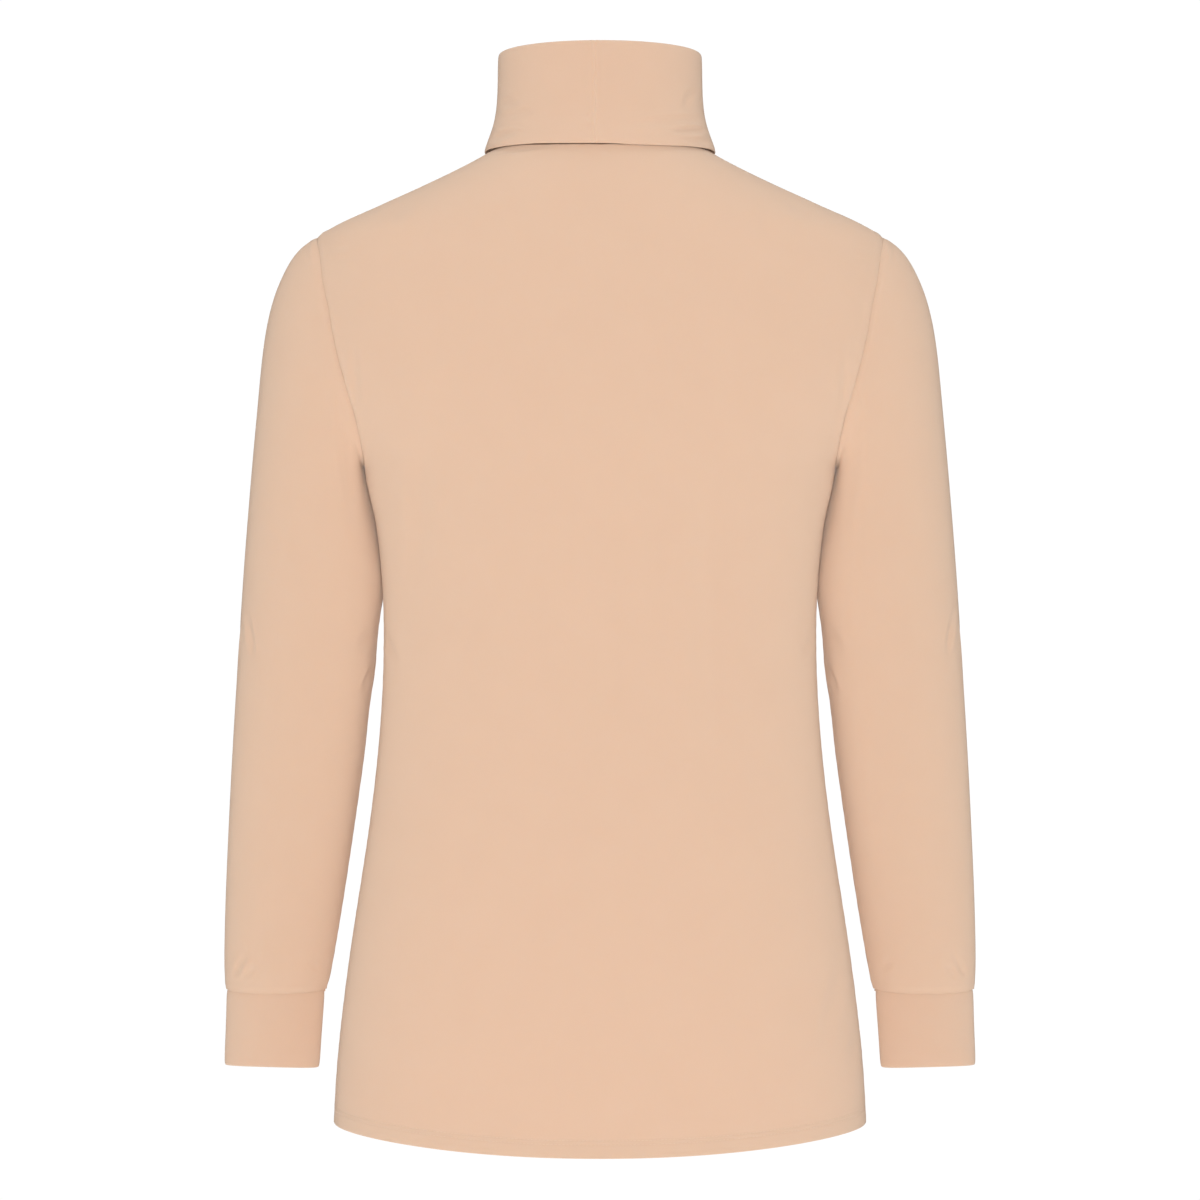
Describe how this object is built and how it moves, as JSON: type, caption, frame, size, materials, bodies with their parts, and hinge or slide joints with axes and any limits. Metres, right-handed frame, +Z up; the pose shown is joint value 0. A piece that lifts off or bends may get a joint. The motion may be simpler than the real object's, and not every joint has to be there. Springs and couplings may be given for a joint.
{
  "type": "turtleneck top",
  "caption": "Long turtleneck top in plain peach jersey, filled out as worn, with long sleeves, doubled cuffs and a turned-down collar.",
  "frame": {"origin": "middle of the neck opening, level with the neck ends of the shoulder seams, where the wearer's shoulders hold the garment", "axes": "+Z up, +X to the wearer's right, +Y out of the wearer's front, so the back panel is on the -Y side"},
  "size_m": [0.5488, 0.2346, 0.7712],
  "materials": {
    "jersey": "matte smooth stretch jersey, peach"
  },
  "bodies": {
    "root": {"back": "jersey", "front": "jersey", "sleeve_right": "jersey", "sleeve_left": "jersey", "cuff_right": "jersey", "cuff_left": "jersey", "collar": "jersey"}
  },
  "joints": []
}
